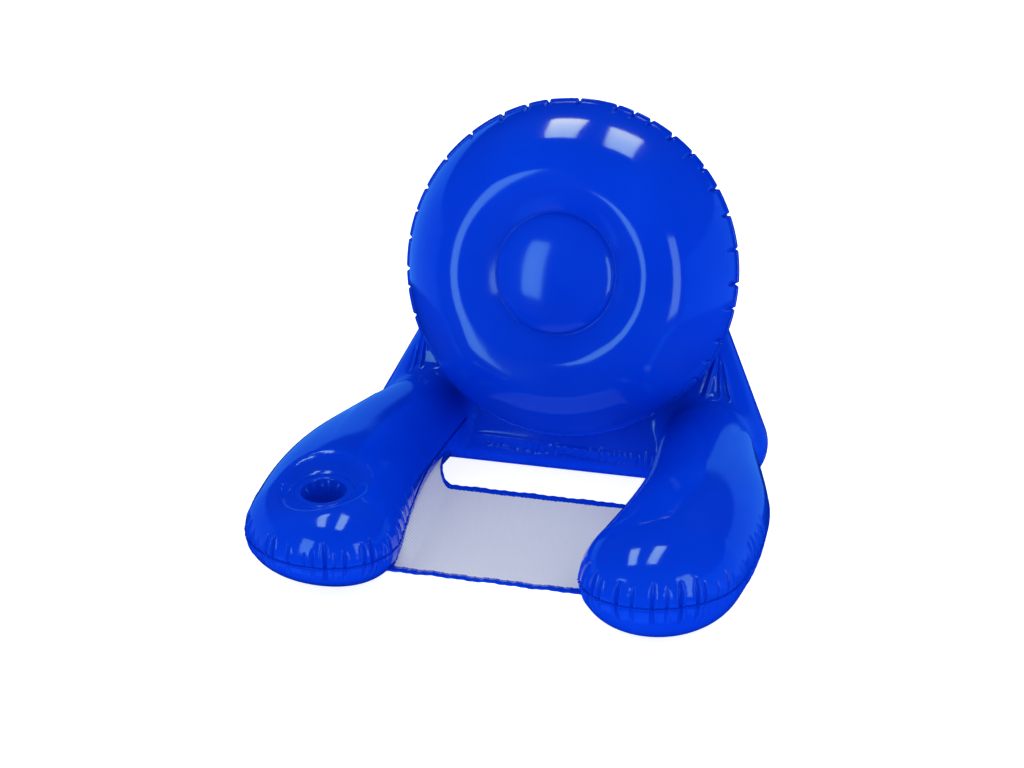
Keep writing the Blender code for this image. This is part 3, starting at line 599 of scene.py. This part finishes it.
def base_skin(material):
    """Arms and support as one skin: joined, blended at the joins, then puckered."""
    arm_grids, arm_pull, seams = base_shapes()
    support_grids = [support_grid(True, 60), support_grid(False, 60)]
    solids = []
    for k in (0, 2):
        top, bottom = arm_grids[k], arm_grids[k + 1]
        caps = [ruled(top[0], bottom[0], 12), ruled(top[-1], bottom[-1], 12)]
        solids.append(closed_shape("solid", [top, bottom], [False, False], caps))
    solids.append(closed_shape("solid", support_grids, [True, True]))
    joined = bmesh.new()
    for solid in solids:
        joined.from_mesh(solid.data)
        bpy.data.objects.remove(solid)
    mesh = bpy.data.meshes.new("base_skin")
    joined.to_mesh(mesh)
    joined.free()
    obj = bpy.data.objects.new("base_skin", mesh)
    bpy.context.scene.collection.objects.link(obj)
    remesh = obj.modifiers.new("remesh", "REMESH")
    remesh.mode = "VOXEL"
    remesh.voxel_size = VOXEL
    evaluated = obj.evaluated_get(bpy.context.evaluated_depsgraph_get())
    obj.data = bpy.data.meshes.new_from_object(evaluated)
    obj.modifiers.clear()
    mesh = obj.data

    arms = Skin(arm_grids, [False] * 4)
    support = Skin(support_grids, [True, True])
    points = np.empty(len(mesh.vertices) * 3)
    mesh.vertices.foreach_get("co", points)
    points = points.reshape(-1, 3)
    arm_place, arm_distance, _ = arms.nearest(points)
    support_place, support_distance, _ = support.nearest(points)
    on_arm = arm_distance < support_distance
    points = np.where(on_arm[:, None], arm_place, support_place)
    further = np.maximum(arm_distance, support_distance)
    width = CREASE_WIDTH + (FILLET - CREASE_WIDTH) * smoothstep((points[:, 2] - CREASE_TOP) / 0.05)
    width = np.maximum(width, FILLET * smoothstep((np.abs(points[:, 0]) - 0.30) / 0.04))
    loose = smoothstep(1 - further / width)
    edges = np.empty(len(mesh.edges) * 2, dtype=int)
    mesh.edges.foreach_get("vertices", edges)
    points = relaxed(points, edges.reshape(-1, 2), loose, RELAX_ROUNDS)
    mesh.vertices.foreach_set("co", points.ravel())

    bm = bmesh.new()
    bm.from_mesh(mesh)
    kept_loose = bm.verts.layers.float.new("loose")
    for vert, value in zip(bm.verts, loose):
        vert[kept_loose] = value
    for cut in (True, True, False):
        points = np.array([tuple(v.co) for v in bm.verts])
        loose = np.array([v[kept_loose] for v in bm.verts])
        place, distance, index = arms.nearest(points)
        pull = arms.read(arm_pull, place, index)
        near = (distance < PULL_REACH) & (loose < 0.01)
        pull = np.where(near[:, None], pull, 0.0)
        away = points - SUPPORT_FRAME[0]
        front = (away @ SUPPORT_FRAME[1] > 0.004) & (distance > 0.004)
        lift = support_wrinkles(away[:, 0], away @ SUPPORT_FRAME[3])
        lift = lift * smoothstep((distance - 0.004) / 0.012)
        pull = pull + np.where(front, lift, 0.0)[:, None] * SUPPORT_FRAME[1]
        if cut:
            moved = np.linalg.norm(pull, axis=1) > PULL_LEAST
            for vert, flag in zip(bm.verts, moved.tolist()):
                vert.tag = flag
            fine = [edge for edge in bm.edges if edge.verts[0].tag or edge.verts[1].tag]
            bmesh.ops.subdivide_edges(bm, edges=fine, cuts=1, use_grid_fill=True)
    points = np.where(near[:, None], place, points) + pull
    for vert, point in zip(bm.verts, points.tolist()):
        vert.co = point
    cut_hole(bm, Vector((CUP_X, CUP_Y, CUP_LIP_Z)), Vector((0, 0, 1)), CUP_MOUTH_R + 0.004, 0.03)
    low, high = (Vector(c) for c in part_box("back_support_valve_flange"))
    cut_hole(bm, (low + high) / 2, Vector(SUPPORT_FRAME[1]), 0.013, 0.02)
    bm.to_mesh(mesh)
    bm.free()
    for (line, out, s), last in zip(seams, FLANGE_LAST):
        add_grid(obj, seam_flange(line, out, s, last))
    add_grid(obj, support_flange())
    mesh.materials.clear()
    mesh.materials.append(material)
    return obj


def relaxed(points, edges, weight, rounds):
    """Moves each point towards the mean of its neighbours by its weight, many times over."""
    count = len(points)
    first, second = edges[:, 0], edges[:, 1]
    degree = np.maximum(np.bincount(first, minlength=count) + np.bincount(second, minlength=count), 1)
    for _ in range(rounds):
        mean = np.empty_like(points)
        for k in range(3):
            total = np.bincount(first, points[second, k], count)
            total = total + np.bincount(second, points[first, k], count)
            mean[:, k] = total / degree
        points = points + (mean - points) * (weight * 0.9)[:, None]
    return points


def cut_hole(bm, centre, axis, radius, depth):
    """Deletes the faces inside a short cylinder."""
    doomed = []
    for face in bm.faces:
        offset = face.calc_center_median() - centre
        along = offset.dot(axis)
        if abs(along) < depth and (offset - axis * along).length < radius:
            doomed.append(face)
    bmesh.ops.delete(bm, geom=doomed, context="FACES")


# ---------------------------------------------------------------- backrest
DISC_COLUMNS = 2000
RIM_FLANGE = 0.0058
NOTCH_COUNT = 38
NOTCH_DEPTH = 0.0075
NOTCH_WIDTH = 0.0036


def disc_profile(heights, low, rim_rows, ring_rows, dome_rows):
    """(radius, depth) from the rim over the crest and the ring weld to the middle.

    The rim is full where low is 1, at the bottom, and tapers to a lip where it is 0.
    """
    crest, weld, dome = heights
    share = 1 - np.linspace(0, 1, rim_rows) ** 1.5
    power = RIM_POWER[0] + (RIM_POWER[1] - RIM_POWER[0]) * low
    bend = RIM_ROUND[0] + (RIM_ROUND[1] - RIM_ROUND[0]) * low
    rim = np.stack([CREST_R + (DISC_R - CREST_R) * share, crest * (1 - share**power) ** bend], axis=1)
    t = np.linspace(0, 1, ring_rows)[1:]
    ring = np.stack(
        [CREST_R + (WELD_R - CREST_R) * t, weld + (crest - weld) * np.cos(math.pi / 2 * t)], axis=1
    )
    angle = math.pi / 2 * np.linspace(0, 1, dome_rows)[1:]
    middle = np.stack([WELD_R * np.cos(angle), weld + (dome - weld) * np.sin(angle)], axis=1)
    return np.concatenate([rim, ring, middle])


def rim_notches():
    rng = np.random.default_rng(5)
    steps = rng.uniform(0.62, 1.38, NOTCH_COUNT)
    places = np.cumsum(steps) / steps.sum() * 2 * math.pi * DISC_R
    return [
        (
            place,
            NOTCH_DEPTH * rng.uniform(0.5, 1.0),
            rng.uniform(0.020, 0.042),
            NOTCH_WIDTH * rng.uniform(0.8, 1.2),
        )
        for place in places
    ]


NOTCHES = rim_notches()


def disc_skin(name, front, material):
    """One skin of the backrest; the front one carries the welded lip."""
    origin, normal, side, upward = DISC_FRAME
    outward = normal if front else -normal
    heights = FRONT_HEIGHTS if front else REAR_HEIGHTS
    profile, full = (disc_profile(heights, low, 60, 26, 26) for low in (0.0, 1.0))
    angle = np.linspace(0, 2 * math.pi, DISC_COLUMNS, endpoint=False)
    low = smoothstep((-np.sin(angle) - 0.45) / 0.35)[:, None]
    spoke = side * np.cos(angle)[:, None] + upward * np.sin(angle)[:, None]
    radius, depth = profile[:, 0][None, :], profile[:, 1] * (1 - low) + full[:, 1] * low + SKIN
    points = origin + spoke[:, None, :] * radius[..., None] + outward * depth[..., None]
    if not front:
        reach = reach_to_contact(points - outward * depth[..., None], outward)
        pressed = soft_least(np.broadcast_to(depth, reach.shape), reach)
        held = smoothstep((CONTACT_Z + 0.20 - points[..., 2]) / 0.08)
        points = points + outward * ((pressed - depth) * held)[..., None]
    normals = grid_normals(points, closed=True)
    if (normals[:, 20] * outward).sum() < 0:
        normals = -normals
    s = (angle * DISC_R)[:, None]
    steps = np.linalg.norm(np.diff(profile, axis=0), axis=1)
    t = np.r_[0.0, np.cumsum(steps)][None, :]
    pull = pucker_depth(s, t, NOTCHES, period=2 * math.pi * DISC_R, ridge=0.0) * (1 - 0.75 * low)
    lift = DISC_LIFT * (1.0 if front else smoothstep((radius - 0.06) / 0.06))
    points = points + upward * np.broadcast_to(lift, radius.shape)[..., None]
    points = points - normals * pull[..., None]
    if front:
        edge = spoke * (DISC_R - pull[:, :1])
        lip = [(-0.004, 0.0016), (RIM_FLANGE, 0.0006), (RIM_FLANGE, -0.0006), (-0.004, -0.0016)]
        lip.append(lip[0])
        centre = origin + upward * DISC_LIFT
        flange = np.stack([centre + edge + spoke * r * (1 - low) + normal * d for r, d in lip], axis=1)
    obj = grid_object(name, points, material, closed=True, flip=not front)
    if front:
        add_grid(obj, flange, closed=True)
    return merged(obj, 1e-6)


# ---------------------------------------------------------------- seat
def seat_surface(u, t):
    """A point of the mesh: u from -1 at the left to 1 at the right, t from the front to the rear."""
    straight, corner = 0.84, 0.5
    bent = np.abs(u) > corner
    angle = math.pi / 2 * (np.abs(u) - corner) / (1 - corner) * 0.97
    swept = np.sign(u) * (straight + (1 - straight) * np.sin(angle))
    rear_share = np.where(bent, swept, straight * u / corner)
    rear_back = np.where(bent, SEAT_REAR + SEAT_EAR * (1 - np.cos(angle)), SEAT_REAR)
    share = u + (rear_share - u) * t
    back = SEAT_FRONT + (rear_back - SEAT_FRONT) * t
    sag = SEAT_SAG * np.sin(math.pi * t) * (1 - share**2)
    rise = SEAT_RISE * smoothstep((np.abs(share) - 0.80) / 0.20) * smoothstep(t / 0.25)
    z = SEAT_FRONT_Z + (SEAT_REAR_Z - SEAT_FRONT_Z) * t - sag + rise
    k = np.clip((CAP_LENGTH - back) / CAP_LENGTH, 0.0, 1.0)
    cap = np.sqrt(np.clip(1 - k**CAP_POWER, 0, 1))
    inner = np.where(share < 0, inner_x[-1](back), inner_x[1](back))
    middle = (inner + outer_x(back)) / 2
    half = (outer_x(back) - inner) / 2
    width = middle - half * cap + 0.004 + 0.010 * (1 - t) ** 2
    return np.stack([width * share, TIP_Y + back, z], axis=-1)


def seat(material):
    u, t = np.meshgrid(np.linspace(-1, 1, 201), np.linspace(0, 1, 201), indexing="ij")
    return grid_object("seat_mesh_fabric", seat_surface(u, t), material)


def folded_tape(name, line, inward, up, material, seed, reach=0.0150, thick=0.0021):
    """A tape folded over an edge: line runs along the edge, inward points into the mesh."""
    s = np.r_[0.0, np.cumsum(np.linalg.norm(np.diff(line, axis=0), axis=1))]
    width = reach + wander(seed, s, (0.093, 0.021, 0.0083, 0.0047), 0.0026)
    height = wander(seed + 1, s, (0.110, 0.052, 0.019), 0.0018)
    loop = [(0.0, 1.0), (0.9, 0.9), (1.0, 0.3), (1.0, -0.3), (0.9, -0.9), (0.0, -1.0)]
    loop += [(-0.0022, -0.8), (-0.0030, 0.0), (-0.0022, 0.8), (0.0, 1.0)]
    rows = []
    for r, z in loop:
        along = width * r if r > 0 else np.full_like(s, r)
        rows.append(line + inward * along[:, None] + up * (height + thick * z)[:, None])
    return grid_object(name, np.stack(rows, axis=1), material)


def seat_edge_tape(name, t, step, material, seed):
    """The folded tape on the mesh's front edge (t = 0) or rear edge (t = 1)."""
    u = np.linspace(-0.995, 0.995, 900)
    line = seat_surface(u, t + 0 * u)
    inward = seat_surface(u, t + step + 0 * u) - line
    inward /= np.linalg.norm(inward, axis=1, keepdims=True)
    along = np.gradient(line, axis=0)
    up = np.cross(along, inward)
    up *= np.sign(up[:, 2:]) / np.linalg.norm(up, axis=1, keepdims=True)
    return folded_tape(name, line, inward, up, material, seed)


def seat_side_strip(name, side, material):
    """The vinyl tape that holds the mesh along an arm; most of it lies against the arm."""
    t = np.linspace(0.0, 1.0, 500)
    line = seat_surface(side + 0 * t, t)
    inward = seat_surface(side * 0.97 + 0 * t, t) - line
    inward /= np.linalg.norm(inward, axis=1, keepdims=True)
    up = np.cross(np.gradient(line, axis=0), inward)
    up *= np.sign(up[:, 2:]) / np.linalg.norm(up, axis=1, keepdims=True)
    return folded_tape(name, line, inward, up, material, 60 + side, reach=0.006, thick=0.0009)


# ---------------------------------------------------------------- cup pocket
def cup_pocket(material):
    """Welded ring, rolled lip, pleated wall and foot of the cup holder."""
    rng = np.random.default_rng(3)
    ring = [(CUP_FLAT_R + 0.002, -0.0008), (CUP_FLAT_R + 0.0015, 0.0006), (CUP_FLAT_R - 0.002, 0.0009)]
    ring += [(CUP_MOUTH_R + 0.004, 0.0008)]
    for k in range(1, 9):
        a = math.pi / 2 * k / 8
        ring.append((CUP_MOUTH_R + 0.004 - 0.004 * math.sin(a), 0.0008 - 0.004 * (1 - math.cos(a))))
    for k in range(1, 40):
        t = k / 39
        wall = CUP_MOUTH_R + (CUP_FOOT_R - CUP_MOUTH_R) * t
        ring.append((wall, -0.0032 - (CUP_DEPTH - 0.0032 - 0.0012) * t))
    for k in range(1, 8):
        ring.append((CUP_FOOT_R * (1 - k / 7), -CUP_DEPTH + 0.0012))
    profile = np.array(ring)
    count = 360
    angle = np.linspace(0, 2 * math.pi, count, endpoint=False)
    steps = rng.uniform(0.6, 1.4, 15)
    places = np.cumsum(steps) / steps.sum() * 2 * math.pi
    pleat = np.zeros(count)
    for place in places:
        d = (angle - place + math.pi) % (2 * math.pi) - math.pi
        pleat += rng.uniform(0.5, 1.0) * np.exp(-np.abs(d / 0.095) ** 1.6)
    depth = -profile[:, 1]
    amount = 0.0072 * smoothstep(depth / 0.02) * (1 - 0.6 * smoothstep((depth - 0.06) / 0.028))
    amount[-7:] = 0
    radius = profile[None, :, 0] - pleat[:, None] * amount[None, :]
    points = np.stack(
        [
            CUP_X + radius * np.cos(angle)[:, None],
            CUP_Y + radius * np.sin(angle)[:, None],
            profile[None, :, 1] + cup_lip(CUP_Y + radius * np.sin(angle)[:, None]),
        ],
        axis=-1,
    )
    return merged(grid_object("cup_holder_pocket", points, material, closed=True), 1e-6)


# ---------------------------------------------------------------- materials
def node_material(name):
    material = bpy.data.materials.new(name)
    material.use_nodes = True
    tree = material.node_tree
    return material, tree, tree.nodes["Principled BSDF"]


def noise(tree, scale, detail=2.0, roughness=0.5):
    node = tree.nodes.new("ShaderNodeTexNoise")
    node.inputs["Scale"].default_value = scale
    node.inputs["Detail"].default_value = detail
    node.inputs["Roughness"].default_value = roughness
    coordinates = tree.nodes.new("ShaderNodeTexCoord")
    tree.links.new(coordinates.outputs["Object"], node.inputs["Vector"])
    return node


def ramp(tree, source, low, high, start=0.3, end=0.7):
    node = tree.nodes.new("ShaderNodeValToRGB")
    node.color_ramp.elements[0].position = start
    node.color_ramp.elements[1].position = end
    node.color_ramp.elements[0].color = low
    node.color_ramp.elements[1].color = high
    tree.links.new(source, node.inputs["Fac"])
    return node


def vinyl(name, dark, light, roughness=(0.08, 0.13), bump=0.04):
    material, tree, shader = node_material(name)
    patches = noise(tree, 5.0, 2.0)
    colour = ramp(tree, patches.outputs["Fac"], (*dark, 1), (*light, 1))
    tree.links.new(colour.outputs["Color"], shader.inputs["Base Color"])
    haze = noise(tree, 9.0, 3.0)
    gloss = ramp(tree, haze.outputs["Fac"], (roughness[0],) * 3 + (1,), (roughness[1],) * 3 + (1,))
    tree.links.new(gloss.outputs["Color"], shader.inputs["Roughness"])
    film = noise(tree, 28.0, 1.0)
    node = tree.nodes.new("ShaderNodeBump")
    node.inputs["Strength"].default_value = bump
    node.inputs["Distance"].default_value = 0.002
    tree.links.new(film.outputs["Fac"], node.inputs["Height"])
    tree.links.new(node.outputs["Normal"], shader.inputs["Normal"])
    shader.inputs["Specular Tint"].default_value = (0.3, 0.6, 1.0, 1.0)
    shader.inputs["IOR"].default_value = 1.52
    return material


THREAD_PITCH = (("X", 0.0028), ("Y", 0.0040))  # direction and distance between the threads


def fabric(name):
    material, tree, shader = node_material(name)
    coordinates = tree.nodes.new("ShaderNodeTexCoord")
    heights = []
    for direction, pitch in THREAD_PITCH:
        wave = tree.nodes.new("ShaderNodeTexWave")
        wave.bands_direction = direction
        wave.inputs["Scale"].default_value = 2 * math.pi / pitch / 20
        wave.inputs["Distortion"].default_value = 0.6
        wave.inputs["Detail"].default_value = 1.0
        tree.links.new(coordinates.outputs["Object"], wave.inputs["Vector"])
        heights.append(wave)
    both = tree.nodes.new("ShaderNodeMath")
    both.operation = "MULTIPLY"
    tree.links.new(heights[0].outputs["Fac"], both.inputs[0])
    tree.links.new(heights[1].outputs["Fac"], both.inputs[1])
    # The colour follows the weave's height. The low gaps between the threads are darker as painted shade,
    # and the blue tint over the whole mesh is painted bounce light from the blue vinyl round it. The pale
    # colour and the weave pattern are the mesh's own.
    colour = ramp(tree, both.outputs[0], (0.58, 0.63, 0.76, 1), (0.88, 0.92, 0.98, 1), 0.05, 0.6)
    tree.links.new(colour.outputs["Color"], shader.inputs["Base Color"])
    node = tree.nodes.new("ShaderNodeBump")
    node.inputs["Strength"].default_value = 0.5
    node.inputs["Distance"].default_value = 0.0006
    tree.links.new(both.outputs[0], node.inputs["Height"])
    tree.links.new(node.outputs["Normal"], shader.inputs["Normal"])
    shader.inputs["Roughness"].default_value = 0.85
    return material


def floor_material():
    material, tree, shader = node_material("studio_floor")
    cloud = noise(tree, 1.5, 2.0)
    colour = ramp(tree, cloud.outputs["Fac"], (0.68, 0.68, 0.68, 1), (0.72, 0.72, 0.72, 1))
    shader.inputs["Emission Color"].default_value = (1.0, 1.0, 1.0, 1.0)
    shader.inputs["Emission Strength"].default_value = 0.84
    tree.links.new(colour.outputs["Color"], shader.inputs["Base Color"])
    shader.inputs["Roughness"].default_value = 0.6
    shader.inputs["Specular IOR Level"].default_value = 0.1
    return material


# ---------------------------------------------------------------- pieces
blue = vinyl("glossy_blue_vinyl", (0.0, 0.033, 0.62), (0.0, 0.041, 0.68))
inner_blue = vinyl("inner_blue_vinyl", (0.0, 0.016, 0.46), (0.0, 0.020, 0.52), (0.3, 0.4))
valve_blue = vinyl("soft_valve_vinyl", (0.06, 0.16, 0.60), (0.09, 0.20, 0.66), (0.28, 0.36))
mesh_cloth = fabric("pale_woven_mesh")

base = base_skin(blue)
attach(base, "root")
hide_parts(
    "arm_left_top_sheet",
    "arm_left_bottom_sheet",
    "arm_right_top_sheet",
    "arm_right_bottom_sheet",
    "back_support_front_sheet",
    "back_support_rear_sheet",
)

disc_front = disc_skin("backrest_front_skin", True, blue)
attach(disc_front, "root")
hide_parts("backrest_front_sheet")

disc_rear = disc_skin("backrest_rear_skin", False, blue)
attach(disc_rear, "root")
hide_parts("backrest_rear_sheet")

pocket = cup_pocket(blue)
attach(pocket, "root")
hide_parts("cup_holder_sleeve", "cup_holder_base")

for tape, node in (
    (seat_edge_tape("seat_front_tape", 0.0, 0.02, blue, 41), "seat_front_binding"),
    (seat_edge_tape("seat_rear_tape", 1.0, -0.02, blue, 47), "seat_rear_binding"),
    (seat_side_strip("seat_left_strip", -1, blue), "seat_left_weld_strip"),
    (seat_side_strip("seat_right_strip", 1, blue), "seat_right_weld_strip"),
):
    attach(tape, "root")
    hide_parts(node)

cloth = seat(mesh_cloth)
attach(cloth, "root")
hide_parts("seat_mesh")

for name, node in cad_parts.items():
    if "valve" in name:
        paint = valve_blue
    elif "baffle" in name:
        paint = inner_blue
    else:
        paint = blue
    node.data.materials.clear()
    node.data.materials.append(paint)

# ---------------------------------------------------------------- stage, light and camera
bm = bmesh.new()
bmesh.ops.create_grid(bm, x_segments=8, y_segments=8, size=6.0)
mesh = bpy.data.meshes.new("studio_floor")
bm.to_mesh(mesh)
bm.free()
floor = bpy.data.objects.new("studio_floor", mesh)
floor.location = (0, 0, -0.0005)
bpy.context.scene.collection.objects.link(floor)
mesh.materials.append(floor_material())
floor.visible_glossy = False


CENTRE = Vector((0.0, 0.0, 0.3))


def softbox(name, place, width, height, radiance, tint, along=(0, 0, 1), shown_on=None, aim=CENTRE):
    """A rectangular light seen only in reflections, so that it shapes the gloss and not the shading."""
    light = bpy.data.lights.new(name, "AREA")
    light.shape = "RECTANGLE"
    light.size = width
    light.size_y = height
    light.energy = radiance * math.pi * width * height
    light.color = tint
    obj = bpy.data.objects.new(name, light)
    obj.location = place
    back = (Vector(place) - Vector(aim)).normalized()
    length = Vector(along)
    length = (length - back * length.dot(back)).normalized()
    obj.rotation_euler = Matrix((length.cross(back), length, back)).transposed().to_euler()
    if shown_on:
        obj.light_linking.receiver_collection = shown_on
    obj.visible_camera = False
    obj.visible_diffuse = False
    bpy.context.scene.collection.objects.link(obj)


def nested(name, place, width, height, radiance, tint, along=(0, 0, 1), shown_on=None):
    """Softboxes of growing size in one place, which together fade out towards the edges."""
    for k, grown in enumerate((0.15, 0.35, 0.60, 0.90, 1.30)):
        tall = height * (0.80 + 0.06 * k)
        softbox(f"{name}_{k}", place, width * grown, tall, radiance / 5, tint, along, shown_on)


def linked(name, objects):
    collection = bpy.data.collections.new(name)
    for obj in objects:
        collection.objects.link(obj)
    return collection


KEY_TINT = (0.80, 0.70, 0.28)
SOFT_TINT = (0.75, 1.0, 0.55)
SIDE_TINT = (0.80, 0.80, 0.34)
WALL_TINT = (0.06, 0.32, 1.0)
lower = linked("lit_low", [base, pocket])
upper = linked("lit_high", [disc_front, disc_rear])
LONG_WAY = (0, 1, 0)
softbox("key_left", (-0.62, -0.70, 2.6), 0.42, 1.25, 14.0, KEY_TINT, LONG_WAY, lower)
softbox("key_right", (0.38, -0.60, 2.6), 0.42, 1.25, 14.0, KEY_TINT, LONG_WAY, lower)
softbox("top_left", (-0.55, 1.05, 2.6), 0.60, 1.25, 15.0, KEY_TINT, LONG_WAY, upper)
softbox("top_right", (0.55, 0.95, 2.6), 0.60, 1.25, 15.0, KEY_TINT, LONG_WAY, upper)
nested("front_strip", (-1.28, -2.62, 1.05), 0.55, 1.7, 22.0, SOFT_TINT)
nested("right_strip", (2.30, -1.70, 0.85), 0.60, 1.9, 26.0, SIDE_TINT)
for k in range(-5, 6):
    turn = math.radians(180 + 20 * k)
    place = (3.0 * math.sin(turn), -3.0 * math.cos(turn), 0.30)
    softbox(f"wall_{k + 5}", place, 1.07, 1.8, 0.95, WALL_TINT)
softbox("bounce", (0.0, -0.62, -0.08), 3.0, 0.26, 1.3, WALL_TINT, LONG_WAY, aim=(0.0, -0.62, 1.0))

world = bpy.data.worlds.new("studio")
bpy.context.scene.world = world
world.use_nodes = True
world.node_tree.nodes["Background"].inputs["Color"].default_value = (1.0, 1.0, 1.0, 1.0)
world.node_tree.nodes["Background"].inputs["Strength"].default_value = 1.0
world.cycles_visibility.glossy = False

camera_data = bpy.data.cameras.new("camera")
camera_data.lens = 78.81
camera_data.sensor_width = 36.0
camera = bpy.data.objects.new("camera", camera_data)
LOOK_AT = Vector((-0.0727, 0.1231, 0.2332))
AZIMUTH, ELEVATION, DISTANCE = math.radians(14.8963), math.radians(22.576), 4.2778
away = Vector(
    (
        math.sin(AZIMUTH) * math.cos(ELEVATION),
        -math.cos(AZIMUTH) * math.cos(ELEVATION),
        math.sin(ELEVATION),
    )
)
camera.location = LOOK_AT + away * DISTANCE
camera.rotation_euler = (-away).to_track_quat("-Z", "Y").to_euler()
bpy.context.scene.collection.objects.link(camera)
bpy.context.scene.camera = camera
bpy.context.scene.view_settings.view_transform = "Standard"
